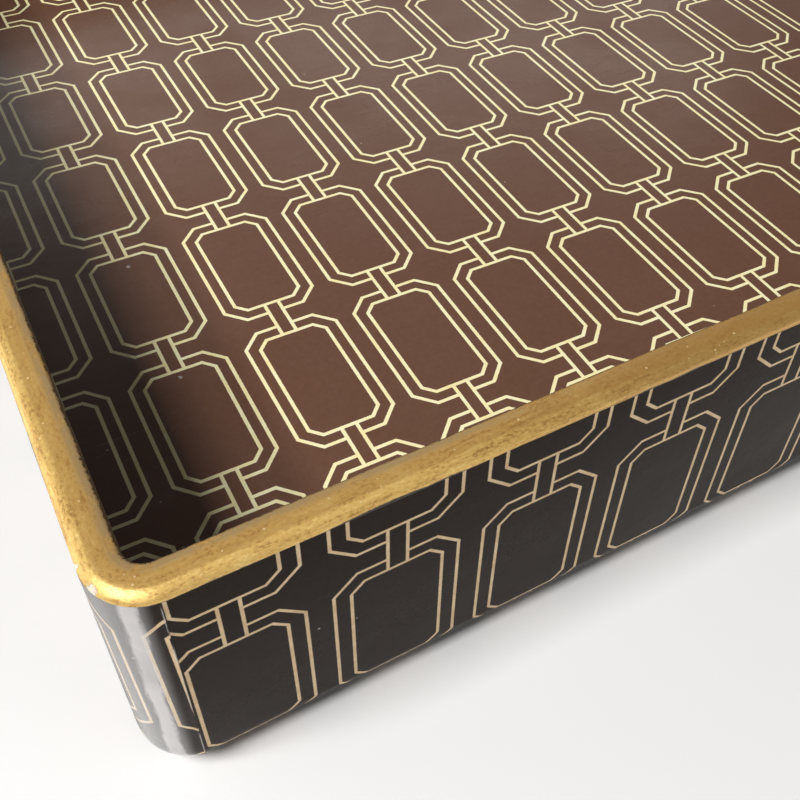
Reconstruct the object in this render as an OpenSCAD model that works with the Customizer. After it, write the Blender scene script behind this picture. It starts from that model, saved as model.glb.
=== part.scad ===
// Deep rectangular serving tray: a board carcase with rounded corner posts,
// covered in printed paper under clear lacquer, with a gilded rim and a felt underside.
// Units are millimetres. The origin is at the centre of the felt's resting face,
// +X runs along the front side and +Z points up.

/* [Tray] */
// Overall length, along the front side
tray_l = 406; // [250:1:600]
// Overall width, front to back
tray_w = 305; // [200:1:500]
// Overall height, from the resting face to the top of the rim
tray_h = 51.5; // [40:0.5:90]
// Radius of the outer upright corners, over the paper
corner_r = 9; // [8:0.5:12]
// Radius of the rounded lower arris, over the paper
arris_r = 5.5; // [5:0.5:7]

/* [Boards] */
// Thickness of the side boards
board_t = 5.4; // [5:0.1:6.5]
// Thickness of the base board
base_t = 6; // [4:0.5:8]
// Width of the rebate that the base board sits in
rebate = 2; // [1:0.25:2.5]

/* [Corner joints] */
// Straight leg of a corner post beyond its rounded part
post_leg = 8; // [6:0.5:14]
// Thickness of the tongue on the end of a side board
tongue_t = 1.8; // [1:0.1:2]
// Length of that tongue
tongue_l = 4; // [2:0.5:5]
// Height that the tongue stops short of the straight face, above and below
tongue_stop = 6; // [3:0.5:10]
// Room left around tongues and pins for glue
glue_gap = 0.1; // [0.05:0.05:0.2]

/* [Coverings] */
// Thickness of the printed paper with its lacquer
paper_t = 0.2; // [0.1:0.05:0.4]
// Width of the paper turned flat under the base
turn_under = 9; // [8:0.5:15]
// Thickness of the felt
felt_t = 1.2; // [0.8:0.1:3]
// Corner radius of the felt
felt_r = 3; // [1:0.5:10]

/* [Rim] */
// Height of the gilded rim above the boards
rim_h = 1.3; // [1.2:0.1:3]
// Radius of the rim's outer arris
rim_outer_r = 1.1; // [0.5:0.1:1.1]
// Radius of the rim's inner arris
rim_inner_r = 0.8; // [0.3:0.1:1]

/* [Pins] */
// Diameter of the pins that hold the base
pin_d = 1; // [0.8:0.1:1.4]
// Length of a pin
pin_l = 12; // [8:0.5:16]
// Pins through each long side
pins_long = 5; // [2:1:8]
// Pins through each short side
pins_short = 4; // [2:1:6]
// Distance of the end pins from the ends of their board
pin_end = 30; // [15:1:50]

/* [Hidden] */
$fn = 96;
// Depths are measured inwards from the outer face of the paper, heights from the resting face
board_in = paper_t + board_t;
wall_t = board_in + paper_t;
rebate_at = board_in - rebate;
base_top = felt_t + base_t;
floor_top = base_top + paper_t;
paper_low = felt_t - paper_t;
arris_z = paper_low + arris_r;
board_top = tray_h - rim_h;
under_end = arris_r + turn_under;
section_reach = under_end + corner_r;
// Straight runs of the four sides, and of the boards between the posts
straight_l = tray_l - 2 * corner_r;
straight_w = tray_w - 2 * corner_r;
rail_l = straight_l - 2 * post_leg;
rail_w = straight_w - 2 * post_leg;
// Pins are driven level, half way up the base board, and sunk by their own diameter
pin_z = felt_t + base_t / 2;
pin_from = arris_r - sqrt(pow(arris_r - paper_t, 2) - pow(arris_z - pin_z, 2)) + pin_d;
pin_hole_d = pin_d + 2 * glue_gap;
pin_hole_l = pin_from + pin_l + glue_gap;
// Turns that bring a side drawn at the front to its own place
FRONT = 0;
RIGHT = 90;
BACK = 180;
LEFT = -90;

BOARD = [0.72, 0.58, 0.42];
PAPER = [0.30, 0.20, 0.16];
GILT = [0.80, 0.62, 0.28];
FELT = [0.06, 0.06, 0.06];
STEEL = [0.62, 0.62, 0.64];

// Section of all that lies inside a skin: upright outer face, rounded arris, flat underside
module body_section(skin) {
    translate([skin, arris_z])
        square([section_reach - skin, board_top - arris_z]);
    translate([arris_r, paper_low + skin])
        square([section_reach - arris_r, board_top - paper_low - skin]);
    translate([arris_r, arris_z])
        circle(arris_r - skin);
}

// Part of the body section between two depths and two heights
module section_window(skin, depth_a, depth_b, low, high) {
    intersection() {
        body_section(skin);
        translate([depth_a, low])
            square([depth_b - depth_a, high - low]);
    }
}

// Side board: outer face and arris, with the rebate that takes the base board
module rail_section() {
    difference() {
        section_window(paper_t, paper_t, board_in, 0, board_top);
        translate([rebate_at, 0])
            square([board_in, base_top]);
    }
}

// Edge of the base board, rounded under to follow the arris
module base_edge_section() {
    section_window(paper_t, rebate_at, corner_r, felt_t, base_top);
}

// Printed paper on the outside: down the wall, round the arris and under the base
module cover_section(depth_end) {
    difference() {
        section_window(0, 0, depth_end, 0, board_top);
        body_section(paper_t);
    }
}

// Printed paper on the inside of the wall, standing on the floor paper
module lining_section() {
    translate([board_in, floor_top])
        square([paper_t, board_top - floor_top]);
}

// Gilded rim: a flat top between two rounded arrises
module rim_section() {
    outer_z = tray_h - rim_outer_r;
    inner_z = tray_h - rim_inner_r;
    translate([0, board_top])
        square([wall_t, outer_z - board_top]);
    translate([rim_outer_r, board_top])
        square([wall_t - rim_outer_r, inner_z - board_top]);
    translate([rim_outer_r, board_top])
        square([wall_t - rim_outer_r - rim_inner_r, rim_h]);
    translate([wall_t - rim_inner_r, inner_z])
        circle(rim_inner_r);
    translate([rim_outer_r, outer_z])
        intersection() {
            circle(rim_outer_r);
            translate([-rim_outer_r, 0])
                square(2 * rim_outer_r);
        }
}

// A section drawn in depth and height, run along the front of a box with the given half depth
module along_side(half, run) {
    translate([-run / 2, -half, 0])
        rotate([90, 0, 90])
            linear_extrude(run)
                children();
}

// A section swept through the quarter turn of the front-left corner
module round_corner() {
    translate([corner_r - tray_l / 2, corner_r - tray_w / 2, 0])
        rotate([0, 0, 180])
            rotate_extrude(angle = 90)
                translate([corner_r, 0])
                    mirror([1, 0])
                        children();
}

// The front-left corner copied to another corner
module at_corner(left, front) {
    mirror([left ? 0 : 1, 0, 0])
        mirror([0, front ? 0 : 1, 0])
            children();
}

// A side drawn at the front, turned to face its own way
module facing(turn) {
    rotate([0, 0, turn])
        children();
}

// A section taken round all four sides and corners
module all_round() {
    for (turn = [FRONT, BACK])
        facing(turn)
            along_side(tray_w / 2, straight_l)
                children();
    for (turn = [LEFT, RIGHT])
        facing(turn)
            along_side(tray_l / 2, straight_w)
                children();
    for (left = [false, true], front = [false, true])
        at_corner(left, front)
            round_corner()
                children();
}

module rounded_plate(inset, r, low, t) {
    l = tray_l - 2 * inset;
    w = tray_w - 2 * inset;
    translate([0, 0, low])
        linear_extrude(t) {
            square([l - 2 * r, w], center = true);
            square([l, w - 2 * r], center = true);
            for (x = [-1, 1], y = [-1, 1])
                translate([x * (l / 2 - r), y * (w / 2 - r)])
                    circle(r);
        }
}

// Pins, or the holes for them, spread evenly along a side board
module pin_row(run, half, count, d, from, length) {
    span = run - 2 * pin_end;
    for (i = [0 : count - 1])
        translate([span * (i / (count - 1) - 1 / 2), from - half, pin_z])
            rotate([-90, 0, 0])
                cylinder(d = d, h = length);
}

module all_pins(d, from, length) {
    for (turn = [FRONT, BACK])
        facing(turn)
            pin_row(rail_l, tray_w / 2, pins_long, d, from, length);
    for (turn = [LEFT, RIGHT])
        facing(turn)
            pin_row(rail_w, tray_l / 2, pins_short, d, from, length);
}

// Tongues, or the grooves for them, at both ends of a side board
module tongues(run, half, gap) {
    low = arris_z + tongue_stop;
    high = board_top - tongue_stop;
    for (end = [-1, 1])
        translate([end * run / 2, paper_t + board_t / 2 - half, (low + high) / 2])
            cube([2 * (tongue_l + gap), tongue_t + 2 * gap, high - low + 2 * gap], center = true);
}

module side_rail(run, half) {
    difference() {
        union() {
            along_side(half, run)
                rail_section();
            tongues(run, half, 0);
        }
        children();
    }
}

// Corner post, with its rounded part, two straight legs and the grooves for the tongues
module corner_post() {
    difference() {
        union() {
            round_corner()
                rail_section();
            translate([(post_leg - straight_l) / 2, 0, 0])
                along_side(tray_w / 2, post_leg)
                    rail_section();
            translate([0, (post_leg - straight_w) / 2, 0])
                facing(LEFT)
                    along_side(tray_l / 2, post_leg)
                        rail_section();
        }
        tongues(rail_l, tray_w / 2, glue_gap);
        facing(LEFT)
            tongues(rail_w, tray_l / 2, glue_gap);
    }
}

module long_rail(turn) {
    facing(turn)
        side_rail(rail_l, tray_w / 2)
            pin_row(rail_l, tray_w / 2, pins_long, pin_hole_d, 0, pin_hole_l);
}

module short_rail(turn) {
    facing(turn)
        side_rail(rail_w, tray_l / 2)
            pin_row(rail_w, tray_l / 2, pins_short, pin_hole_d, 0, pin_hole_l);
}

// Outer paper of one straight side, its turned-under flap mitred at both ends
module side_cover(run, half) {
    flap = under_end - corner_r;
    difference() {
        along_side(half, run)
            cover_section(under_end);
        for (end = [0, 1])
            mirror([end, 0, 0])
                translate([-run / 2, corner_r - half, 0])
                    linear_extrude(arris_z)
                        polygon([[0, 0], [flap, flap], [0, flap]]);
    }
}

// Paper of a short side, carried round both its corners to the ends of the long sides
module wrapped_side(turn) {
    facing(turn)
        children(0);
    for (front = [false, true])
        at_corner(turn == LEFT, front)
            round_corner()
                children(1);
}

module long_lining(turn) {
    facing(turn)
        along_side(tray_w / 2, straight_l)
            lining_section();
}

module short_lining(turn) {
    wrapped_side(turn) {
        along_side(tray_l / 2, straight_w)
            lining_section();
        lining_section();
    }
}

module long_cover(turn) {
    facing(turn)
        side_cover(straight_l, tray_w / 2);
}

module short_cover(turn) {
    wrapped_side(turn) {
        side_cover(straight_w, tray_l / 2);
        cover_section(corner_r);
    }
}

module base_board() {
    color(BOARD)
        difference() {
            union() {
                translate([-straight_l / 2, -straight_w / 2, felt_t])
                    cube([straight_l, straight_w, base_t]);
                all_round()
                    base_edge_section();
            }
            all_pins(pin_hole_d, 0, pin_hole_l);
        }
}

module front_rail() {
    color(BOARD) long_rail(FRONT);
}

module right_rail() {
    color(BOARD) short_rail(RIGHT);
}

module back_rail() {
    color(BOARD) long_rail(BACK);
}

module left_rail() {
    color(BOARD) short_rail(LEFT);
}

module front_left_post() {
    color(BOARD) at_corner(true, true) corner_post();
}

module front_right_post() {
    color(BOARD) at_corner(false, true) corner_post();
}

module back_right_post() {
    color(BOARD) at_corner(false, false) corner_post();
}

module back_left_post() {
    color(BOARD) at_corner(true, false) corner_post();
}

module base_pins() {
    color(STEEL) all_pins(pin_d, pin_from, pin_l);
}

module floor_paper() {
    color(PAPER) rounded_plate(board_in, corner_r - board_in, base_top, paper_t);
}

module front_lining() {
    color(PAPER) long_lining(FRONT);
}

module right_lining() {
    color(PAPER) short_lining(RIGHT);
}

module back_lining() {
    color(PAPER) long_lining(BACK);
}

module left_lining() {
    color(PAPER) short_lining(LEFT);
}

module front_cover() {
    color(PAPER) long_cover(FRONT);
}

module right_cover() {
    color(PAPER) short_cover(RIGHT);
}

module back_cover() {
    color(PAPER) long_cover(BACK);
}

module left_cover() {
    color(PAPER) short_cover(LEFT);
}

module gilt_rim() {
    color(GILT)
        all_round()
            rim_section();
}

module felt_base() {
    color(FELT) rounded_plate(under_end, felt_r, 0, felt_t);
}

base_board();
front_rail();
right_rail();
back_rail();
left_rail();
front_left_post();
front_right_post();
back_right_post();
back_left_post();
base_pins();
floor_paper();
front_lining();
right_lining();
back_lining();
left_lining();
front_cover();
right_cover();
back_cover();
left_cover();
gilt_rim();
felt_base();
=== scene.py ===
"""Dresses the deep paper-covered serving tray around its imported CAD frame."""

import logging
import math
from dataclasses import dataclass
from enum import Enum
from typing import Callable, ClassVar, Sequence

import bmesh
import bpy
from mathutils import Matrix, Vector

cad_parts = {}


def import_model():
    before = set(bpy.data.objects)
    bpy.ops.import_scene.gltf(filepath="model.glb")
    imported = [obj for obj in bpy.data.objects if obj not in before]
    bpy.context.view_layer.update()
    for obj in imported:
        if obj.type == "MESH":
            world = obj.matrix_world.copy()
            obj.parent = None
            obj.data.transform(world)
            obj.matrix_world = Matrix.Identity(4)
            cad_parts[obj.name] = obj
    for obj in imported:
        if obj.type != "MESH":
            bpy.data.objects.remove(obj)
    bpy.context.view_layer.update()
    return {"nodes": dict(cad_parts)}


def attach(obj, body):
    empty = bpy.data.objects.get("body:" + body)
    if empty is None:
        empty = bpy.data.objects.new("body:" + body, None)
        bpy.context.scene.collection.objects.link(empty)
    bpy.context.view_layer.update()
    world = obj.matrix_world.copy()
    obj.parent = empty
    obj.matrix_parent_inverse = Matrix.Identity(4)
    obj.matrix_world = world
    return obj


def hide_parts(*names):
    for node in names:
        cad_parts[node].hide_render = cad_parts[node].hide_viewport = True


LOG = logging.getLogger("tray")
BODY = "root"
MM = 0.001
# Places closer than this, in metres, count as one
TOUCH = 1e-6
# Mesh attributes that hold the place in the printed pattern and the place along the brush strokes
PRINT_PLACE = "print_place"
BRUSH_PLACE = "brush_place"
Colour = tuple[float, float, float]
Spot = tuple[float, float, float, float]
Piece = bpy.types.Object
Material = bpy.types.Material
Node = bpy.types.Node
Tree = bpy.types.NodeTree
Socket = bpy.types.NodeSocket
Test = Callable[[Vector], bool]


class Side(Enum):
    """The four sides of the tray, each with the turn that brings it from the front."""

    FRONT = 0
    RIGHT = 90
    BACK = 180
    LEFT = -90

    @property
    def turn(self) -> float:
        """The turn about the upright axis, in radians."""
        return math.radians(self.value)

    @property
    def is_long(self) -> bool:
        """Whether this is a long side."""
        return self in (Side.FRONT, Side.BACK)

    @property
    def label(self) -> str:
        """The side's name as the CAD nodes write it."""
        return self.name.lower()


@dataclass(frozen=True)
class TraySizes:
    """Sizes of the tray in metres, the same as the solids have."""

    length: float = 406 * MM
    width: float = 305 * MM
    height: float = 51.5 * MM
    corner_r: float = 9 * MM
    arris_r: float = 5.5 * MM
    board_t: float = 5.4 * MM
    base_t: float = 6 * MM
    paper_t: float = 0.2 * MM
    turn_under: float = 9 * MM
    felt_t: float = 1.2 * MM
    felt_r: float = 3 * MM
    rim_h: float = 1.3 * MM
    rim_outer_r: float = 1.1 * MM
    rim_inner_r: float = 0.8 * MM

    @property
    def wall_t(self) -> float:
        """Thickness of a wall with paper on both faces."""
        return self.board_t + 2 * self.paper_t

    @property
    def floor_top(self) -> float:
        """Height of the inside floor's printed face."""
        return self.felt_t + self.base_t + self.paper_t

    @property
    def paper_low(self) -> float:
        """Height of the paper turned under the base."""
        return self.felt_t - self.paper_t

    @property
    def arris_z(self) -> float:
        """Height at which the wall starts to round under."""
        return self.paper_low + self.arris_r

    @property
    def board_top(self) -> float:
        """Height at which the paper ends and the rim starts."""
        return self.height - self.rim_h

    @property
    def under_end(self) -> float:
        """Depth at which the turned-under paper ends."""
        return self.arris_r + self.turn_under

    def half(self, side: Side) -> float:
        """Distance of a side's outer face from the centre."""
        return (self.width if side.is_long else self.length) / 2

    def straight(self, side: Side) -> float:
        """Length of a side between its rounded corners."""
        return (self.length if side.is_long else self.width) - 2 * self.corner_r


class Part(Enum):
    """What a selection in edit mode is made of."""

    VERT = "VERT"
    EDGE = "EDGE"
    FACE = "FACE"


class Bench:
    """Mesh tools, used in edit mode on one piece at a time."""

    DOUBLES = 0.005 * MM

    @staticmethod
    def plate(
        name: str, size: tuple[float, float], place: Sequence[float], tilt: Sequence[float]
    ) -> Piece:
        """Adds a plane with its place in its mesh.

        Args:
            name: Name of the piece.
            size: Its two edge lengths.
            place: Its centre.
            tilt: Its Euler turn in radians.

        Returns:
            The new piece, at the origin.
        """
        bpy.ops.object.select_all(action="DESELECT")
        bpy.ops.mesh.primitive_plane_add(size=1, location=place, rotation=tilt)
        piece = bpy.context.object
        piece.name = name
        piece.data.name = name
        piece.scale = (size[0], size[1], 1)
        bpy.ops.object.transform_apply(location=True, rotation=True, scale=True)
        return piece

    @staticmethod
    def take(piece: Piece) -> None:
        """Selects a piece alone and makes it the active one."""
        bpy.ops.object.select_all(action="DESELECT")
        piece.select_set(True)
        bpy.context.view_layer.objects.active = piece

    @staticmethod
    def open(piece: Piece) -> None:
        """Puts a piece, alone, into edit mode."""
        Bench.take(piece)
        bpy.ops.object.mode_set(mode="EDIT")

    @staticmethod
    def close() -> None:
        """Goes back to object mode."""
        bpy.ops.object.mode_set(mode="OBJECT")

    @staticmethod
    def pick_all(kind: Part) -> None:
        """Selects all of an open piece."""
        bpy.ops.mesh.select_mode(type=kind.value)
        bpy.ops.mesh.select_all(action="SELECT")

    @staticmethod
    def pick(piece: Piece, kind: Part, test: Test) -> None:
        """Selects the vertices or edges of an open piece whose centres pass a test.

        Args:
            piece: The piece in edit mode.
            kind: Whether vertices or edges are selected.
            test: Says whether a centre counts.
        """
        bpy.ops.mesh.select_mode(type=kind.value)
        bpy.ops.mesh.select_all(action="DESELECT")
        mesh = bmesh.from_edit_mesh(piece.data)
        parts = mesh.verts if kind is Part.VERT else mesh.edges
        for part in [part for part in parts if test(Bench.centre(part))]:
            part.select_set(True)
        mesh.select_flush_mode()
        bmesh.update_edit_mesh(piece.data)

    @staticmethod
    def centre(part: bmesh.types.BMVert | bmesh.types.BMEdge) -> Vector:
        """The middle of a vertex or an edge."""
        if isinstance(part, bmesh.types.BMVert):
            return part.co.copy()
        return sum((v.co for v in part.verts), Vector()) / len(part.verts)

    @staticmethod
    def draw_out(step: Sequence[float]) -> None:
        """Extrudes what is selected by a step."""
        bpy.ops.mesh.extrude_region_move(TRANSFORM_OT_translate={"value": tuple(step)})

    @staticmethod
    def sweep_round(centre: Sequence[float], axis: Sequence[float], angle: float, steps: int) -> None:
        """Spins what is selected about an axis, by the right-hand rule.

        The operator itself turns the other way when it runs without a window.

        Args:
            centre: A point on the axis.
            axis: The axis's direction.
            angle: The turn in radians.
            steps: How many steps the turn has.
        """
        bpy.ops.mesh.spin(steps=steps, angle=-angle, center=tuple(centre), axis=tuple(axis))

    @staticmethod
    def tidy(piece: Piece, outward: Callable[[Vector], Vector]) -> None:
        """Merges doubles and turns the faces of an open sheet the right way.

        Args:
            piece: The piece in edit mode.
            outward: Gives the way a face at a place has to look.
        """
        bpy.ops.mesh.select_all(action="SELECT")
        bpy.ops.mesh.remove_doubles(threshold=Bench.DOUBLES)
        bpy.ops.mesh.normals_make_consistent(inside=False)
        mesh = bmesh.from_edit_mesh(piece.data)
        vote = sum(f.normal.dot(outward(f.calc_center_median())) * f.calc_area() for f in mesh.faces)
        if vote < 0:
            bpy.ops.mesh.flip_normals()
        bpy.ops.mesh.select_all(action="DESELECT")

    @staticmethod
    def apply(piece: Piece, kind: str, **settings: object) -> None:
        """Adds a modifier and applies it.

        Args:
            piece: The piece, in object mode.
            kind: The modifier's type.
            settings: The modifier's settings.
        """
        Bench.take(piece)
        modifier = piece.modifiers.new(kind.title(), kind)
        for key, value in settings.items():
            setattr(modifier, key, value)
        bpy.ops.object.modifier_apply(modifier=modifier.name)

    @staticmethod
    def turn_to(piece: Piece, side: Side) -> None:
        """Turns a piece made at the front to its own side."""
        Bench.take(piece)
        piece.rotation_euler = (0, 0, side.turn)
        bpy.ops.object.transform_apply(location=True, rotation=True, scale=True)

    @staticmethod
    def smooth(piece: Piece, degrees: float) -> None:
        """Shades a piece smooth up to an angle."""
        Bench.take(piece)
        bpy.ops.object.shade_smooth_by_angle(angle=math.radians(degrees))


def register(piece: Piece, material: Material, node: str) -> None:
    """Gives a finished piece its material and enters it in the frame.

    Args:
        piece: The finished piece.
        material: Its material.
        node: The solid that it stands for.
    """
    piece.data.materials.clear()
    piece.data.materials.append(material)
    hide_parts(node)
    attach(piece, BODY)
    LOG.info("%s: %d faces", piece.name, len(piece.data.polygons))


class Wiring:
    """A node tree with short calls for the nodes used here."""

    # Sockets of a Mix node that mixes colours
    FACTOR, FIRST, SECOND, MIXED = 0, 6, 7, 2
    # Cells whose random value lies below this hold no speck
    BARE_CELLS = 0.55

    def __init__(self, tree: Tree) -> None:
        """Takes over a tree and empties it."""
        self.tree = tree
        tree.nodes.clear()

    def add(self, kind: str, **settings: object) -> Node:
        """Adds a node.

        Args:
            kind: The node's type.
            settings: The node's settings.

        Returns:
            The node.
        """
        node = self.tree.nodes.new(kind)
        for key, value in settings.items():
            setattr(node, key, value)
        return node

    def feed(self, socket: Socket, value: object) -> None:
        """Links a socket to another, or sets its plain value.

        Args:
            socket: The socket that is fed.
            value: Another socket, or a plain value.
        """
        if isinstance(value, Socket):
            self.tree.links.new(value, socket)
        else:
            socket.default_value = value

    def math(self, operation: str, *values: object) -> Socket:
        """Adds a Math node.

        Args:
            operation: What it works out.
            values: Its inputs in order.

        Returns:
            The result.
        """
        node = self.add("ShaderNodeMath", operation=operation)
        for socket, value in zip(node.inputs, values):
            self.feed(socket, value)
        return node.outputs[0]

    def ramp(
        self, value: Socket, low: object, high: object, start: object = 0.0, end: object = 1.0
    ) -> Socket:
        """Eases from one number to another while a value goes from low to high.

        Args:
            value: The value that is followed.
            low: The value at which the easing begins.
            high: The value at which it is over.
            start: The number below low.
            end: The number above high.

        Returns:
            The eased number.
        """
        node = self.add("ShaderNodeMapRange", interpolation_type="SMOOTHSTEP")
        names = ("Value", "From Min", "From Max", "To Min", "To Max")
        for name, part in zip(names, (value, low, high, start, end)):
            self.feed(node.inputs[name], part)
        return node.outputs["Result"]

    def mix(self, factor: object, first: object, second: object) -> Socket:
        """Mixes two colours.

        Args:
            factor: The share of the second colour.
            first: The first colour.
            second: The second colour.

        Returns:
            The mixed colour.
        """
        node = self.add("ShaderNodeMix", data_type="RGBA")
        self.feed(node.inputs[self.FACTOR], factor)
        self.feed(node.inputs[self.FIRST], rgba(first))
        self.feed(node.inputs[self.SECOND], rgba(second))
        return node.outputs[self.MIXED]

    def noise(self, place: Socket, scale: float, detail: float = 2.0, rough: float = 0.5) -> Socket:
        """Adds a noise texture.

        Args:
            place: The place on the surface.
            scale: How fine the noise is.
            detail: How many finer layers it has.
            rough: How strong these are.

        Returns:
            The noise's grey value.
        """
        node = self.add("ShaderNodeTexNoise")
        self.feed(node.inputs["Vector"], place)
        self.feed(node.inputs["Scale"], scale)
        self.feed(node.inputs["Detail"], detail)
        self.feed(node.inputs["Roughness"], rough)
        return node.outputs["Fac"]

    def streaks(
        self, place: Socket, along: float, across: float, detail: float, rough: float = 0.5
    ) -> Socket:
        """Adds a noise texture that is finer in one direction than in the other."""
        return self.noise(self.stretch(place, (along, across, 1.0)), 1.0, detail, rough)

    def specks(self, place: Socket, scale: float, size: float) -> Socket:
        """Adds scattered round specks.

        Args:
            place: The place on the surface.
            scale: How close the specks' cells lie.
            size: The reach of the largest speck, in cells.

        Returns:
            The mask of the specks.
        """
        node = self.add("ShaderNodeTexVoronoi", feature="F1")
        self.feed(node.inputs["Vector"], place)
        self.feed(node.inputs["Scale"], scale)
        chance = self.add("ShaderNodeSeparateColor")
        self.feed(chance.inputs[0], node.outputs["Color"])
        reach = self.ramp(chance.outputs[0], self.BARE_CELLS, 1.0, 0.0, size)
        return self.math("LESS_THAN", node.outputs["Distance"], reach)

    def patches(self, place: Socket, spots: Sequence[Spot]) -> Socket:
        """Adds ragged patches.

        Args:
            place: The place on the surface.
            spots: The three coordinates and the reach of each patch.

        Returns:
            The mask of all patches.
        """
        ragged = self.math("SUBTRACT", self.noise(place, 0.9, 4.0, 0.7), 0.5)
        mask: Socket | float = 0.0
        for *spot, reach in spots:
            gap = self.add("ShaderNodeVectorMath", operation="DISTANCE")
            self.feed(gap.inputs[0], place)
            self.feed(gap.inputs[1], tuple(spot))
            rough = self.math("MULTIPLY_ADD", ragged, reach * 2.2, gap.outputs["Value"])
            mask = self.math("MAXIMUM", mask, self.ramp(rough, reach * 0.5, reach * 0.8, 1.0, 0.0))
        return mask

    def stretch(self, place: Socket, factors: Sequence[float]) -> Socket:
        """Scales a place along its axes.

        Args:
            place: The place.
            factors: The factor of each axis.

        Returns:
            The scaled place.
        """
        node = self.add("ShaderNodeVectorMath", operation="MULTIPLY")
        self.feed(node.inputs[0], place)
        self.feed(node.inputs[1], tuple(factors))
        return node.outputs[0]

    def split(self, place: Socket) -> tuple[Socket, ...]:
        """The three coordinates of a place."""
        node = self.add("ShaderNodeSeparateXYZ")
        self.feed(node.inputs[0], place)
        return tuple(node.outputs)

    def carried(self, name: str) -> Socket:
        """The vector that the mesh carries as an attribute."""
        node = self.add("ShaderNodeAttribute", attribute_name=name, attribute_type="GEOMETRY")
        return node.outputs["Vector"]

    def group(self, tree: Tree, **inputs: object) -> Node:
        """Places a node group.

        Args:
            tree: The group's tree.
            inputs: The values of its inputs, by name.

        Returns:
            The node.
        """
        node = self.add("ShaderNodeGroup")
        node.node_tree = tree
        for name, value in inputs.items():
            self.feed(node.inputs[name.title()], value)
        return node


def rgba(colour: object) -> object:
    """Adds the alpha that a colour socket needs to a plain colour."""
    if isinstance(colour, tuple) and len(colour) == 3:
        return (*colour, 1.0)
    return colour


def srgb(red: int, green: int, blue: int) -> Colour:
    """Turns screen values from 0 to 255 into linear ones."""
    return tuple(
        (c / 255 / 12.92) if c <= 10 else ((c / 255 + 0.055) / 1.055) ** 2.4 for c in (red, green, blue)
    )


class Kind(Enum):
    """Socket types of a node group."""

    NUMBER = "NodeSocketFloat"
    PLACE = "NodeSocketVector"


def new_group(
    name: str, takes: dict[str, Kind], gives: dict[str, Kind]
) -> tuple[Wiring, Node, Node]:
    """Makes an empty shader node group.

    Args:
        name: Name of the group.
        takes: Its inputs.
        gives: Its outputs.

    Returns:
        The wiring of its tree, its input node and its output node.
    """
    tree = bpy.data.node_groups.new(name, "ShaderNodeTree")
    for label, kind in takes.items():
        tree.interface.new_socket(label, in_out="INPUT", socket_type=kind.value)
    for label, kind in gives.items():
        tree.interface.new_socket(label, in_out="OUTPUT", socket_type=kind.value)
    wiring = Wiring(tree)
    return wiring, wiring.add("NodeGroupInput"), wiring.add("NodeGroupOutput")


@dataclass(frozen=True)
class Trellis:
    """The printed link trellis, in millimetres.

    Long octagons in double line are joined in columns by short bars.
    """

    column: float = 25.0
    row: float = 38.99
    half_w: float = 7.54
    half_h: float = 14.36
    chamfer: float = 2.20
    gap: float = 2.78
    bar: float = 1.59
    soft: float = 0.07
    ragged: float = 0.10

    def build(self) -> Tree:
        """Builds the group that turns a place on the paper into the mask of the printed lines.

        Returns:
            The group's tree.
        """
        w, source, sink = new_group(
            "link_trellis",
            {"Place": Kind.PLACE, "Lean": Kind.NUMBER, "Width": Kind.NUMBER},
            {"Line": Kind.NUMBER},
        )
        reach = w.math("MULTIPLY", source.outputs["Width"], 0.5)
        x, y, _ = w.split(source.outputs["Place"])
        leaned = w.math("MULTIPLY_ADD", y, source.outputs["Lean"], x)
        across = w.math("PINGPONG", leaned, self.column / 2)
        along = w.math("PINGPONG", y, self.row / 2)
        slope = w.math("SUBTRACT", w.math("ADD", across, along), self.half_w + self.half_h - self.chamfer)
        beside, past = w.math("SUBTRACT", across, self.half_w), w.math("SUBTRACT", along, self.half_h)
        flats = w.math("MAXIMUM", beside, past)
        exact = w.math("MAXIMUM", flats, w.math("MULTIPLY", slope, math.sqrt(0.5)))
        wander = w.math("SUBTRACT", w.noise(source.outputs["Place"], 2.4, 3.0), 0.5)
        outline = w.math("MULTIPLY_ADD", wander, self.ragged, exact)
        inner = self._stroke(w, outline, reach)
        ring = self._stroke(w, w.math("SUBTRACT", outline, self.gap), reach)
        outer = w.math("MULTIPLY", ring, self._beyond(w, across, self.bar))
        bar_edge = w.math("MULTIPLY_ADD", wander, self.ragged, w.math("SUBTRACT", across, self.bar))
        rails = self._stroke(w, bar_edge, reach)
        bars = w.math("MULTIPLY", rails, self._beyond(w, along, self.half_h))
        w.feed(sink.inputs["Line"], w.math("MAXIMUM", w.math("MAXIMUM", inner, outer), bars))
        return w.tree

    def _stroke(self, w: Wiring, distance: Socket, reach: Socket) -> Socket:
        """Mask of a line that reaches equally far to both sides of a distance's zero."""
        beyond = w.math("SUBTRACT", w.math("ABSOLUTE", distance), reach)
        return w.ramp(beyond, -self.soft, self.soft, 1.0, 0.0)

    def _beyond(self, w: Wiring, value: Socket, limit: float) -> Socket:
        """Mask of where a value passes a limit."""
        return w.ramp(value, limit - self.soft, limit + self.soft)


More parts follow.
